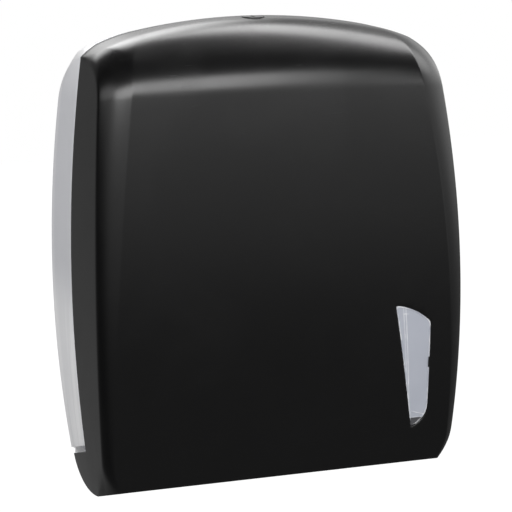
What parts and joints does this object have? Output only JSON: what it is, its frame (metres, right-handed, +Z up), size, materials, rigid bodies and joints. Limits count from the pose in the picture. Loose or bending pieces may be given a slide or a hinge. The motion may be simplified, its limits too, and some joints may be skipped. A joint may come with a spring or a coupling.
{
  "type": "folded towel dispenser",
  "caption": "Wall-mounted folded towel dispenser: a black moulded cover with a level window and a key lock, hinged at the foot of a pale translucent wall housing with a slotted tray.",
  "frame": {"origin": "middle of the four wall holes, on the wall face of the housing", "axes": "+X to the right as seen from the front, +Y into the wall, +Z up"},
  "size_m": [0.287, 0.138, 0.3554],
  "materials": {
    "cover": "satin black moulding",
    "housing": "translucent satin",
    "tray": "satin",
    "throat": "smooth",
    "lens": "clear",
    "bush": "natural",
    "lock_case": "fine matt",
    "lock_face": "satin",
    "zinc": "die-cast",
    "steel": "bright zinc plated"
  },
  "bodies": {
    "housing": {"rear_housing": "housing", "towel_tray": "tray", "exit_throat": "throat", "tray_screws": "steel", "catch_plate": "steel", "catch_screws": "steel", "hinge_bush_left": "bush", "hinge_bush_right": "bush"},
    "cover": {"front_cover": "cover", "window_lens": "lens", "lens_clips": "steel", "hinge_pin_left": "steel", "hinge_pin_right": "steel", "lock_body": "lock_case", "lock_screws": "steel", "latch_keeper": "lock_case", "keeper_screws": "steel", "latch_spring": "steel"},
    "lock": {"lock_barrel": "lock_face", "lock_cam": "zinc", "cam_screw": "steel"},
    "bolt": {"latch_bolt": "zinc"}
  },
  "joints": [
    {"name": "cover_hinge", "type": "hinge", "parent": "housing", "child": "cover", "pos_m": [0, -0.015, -0.169], "axis": [1, 0, 0], "range_deg": [0, 80]},
    {"name": "lock_turn", "type": "hinge", "parent": "cover", "child": "lock", "pos_m": [0, -0.062, 0.175], "axis": [0, 0, 1], "range_deg": [0, 90]},
    {"name": "bolt_slide", "type": "slide", "parent": "cover", "child": "bolt", "axis": [-1, 0, 0], "range_m": [0, 0.008], "deforming": ["latch_spring"]}
  ],
  "couplings": [
    {"joint": "bolt_slide", "follows": "lock_turn", "m_per_rad": 0.005093}
  ]
}
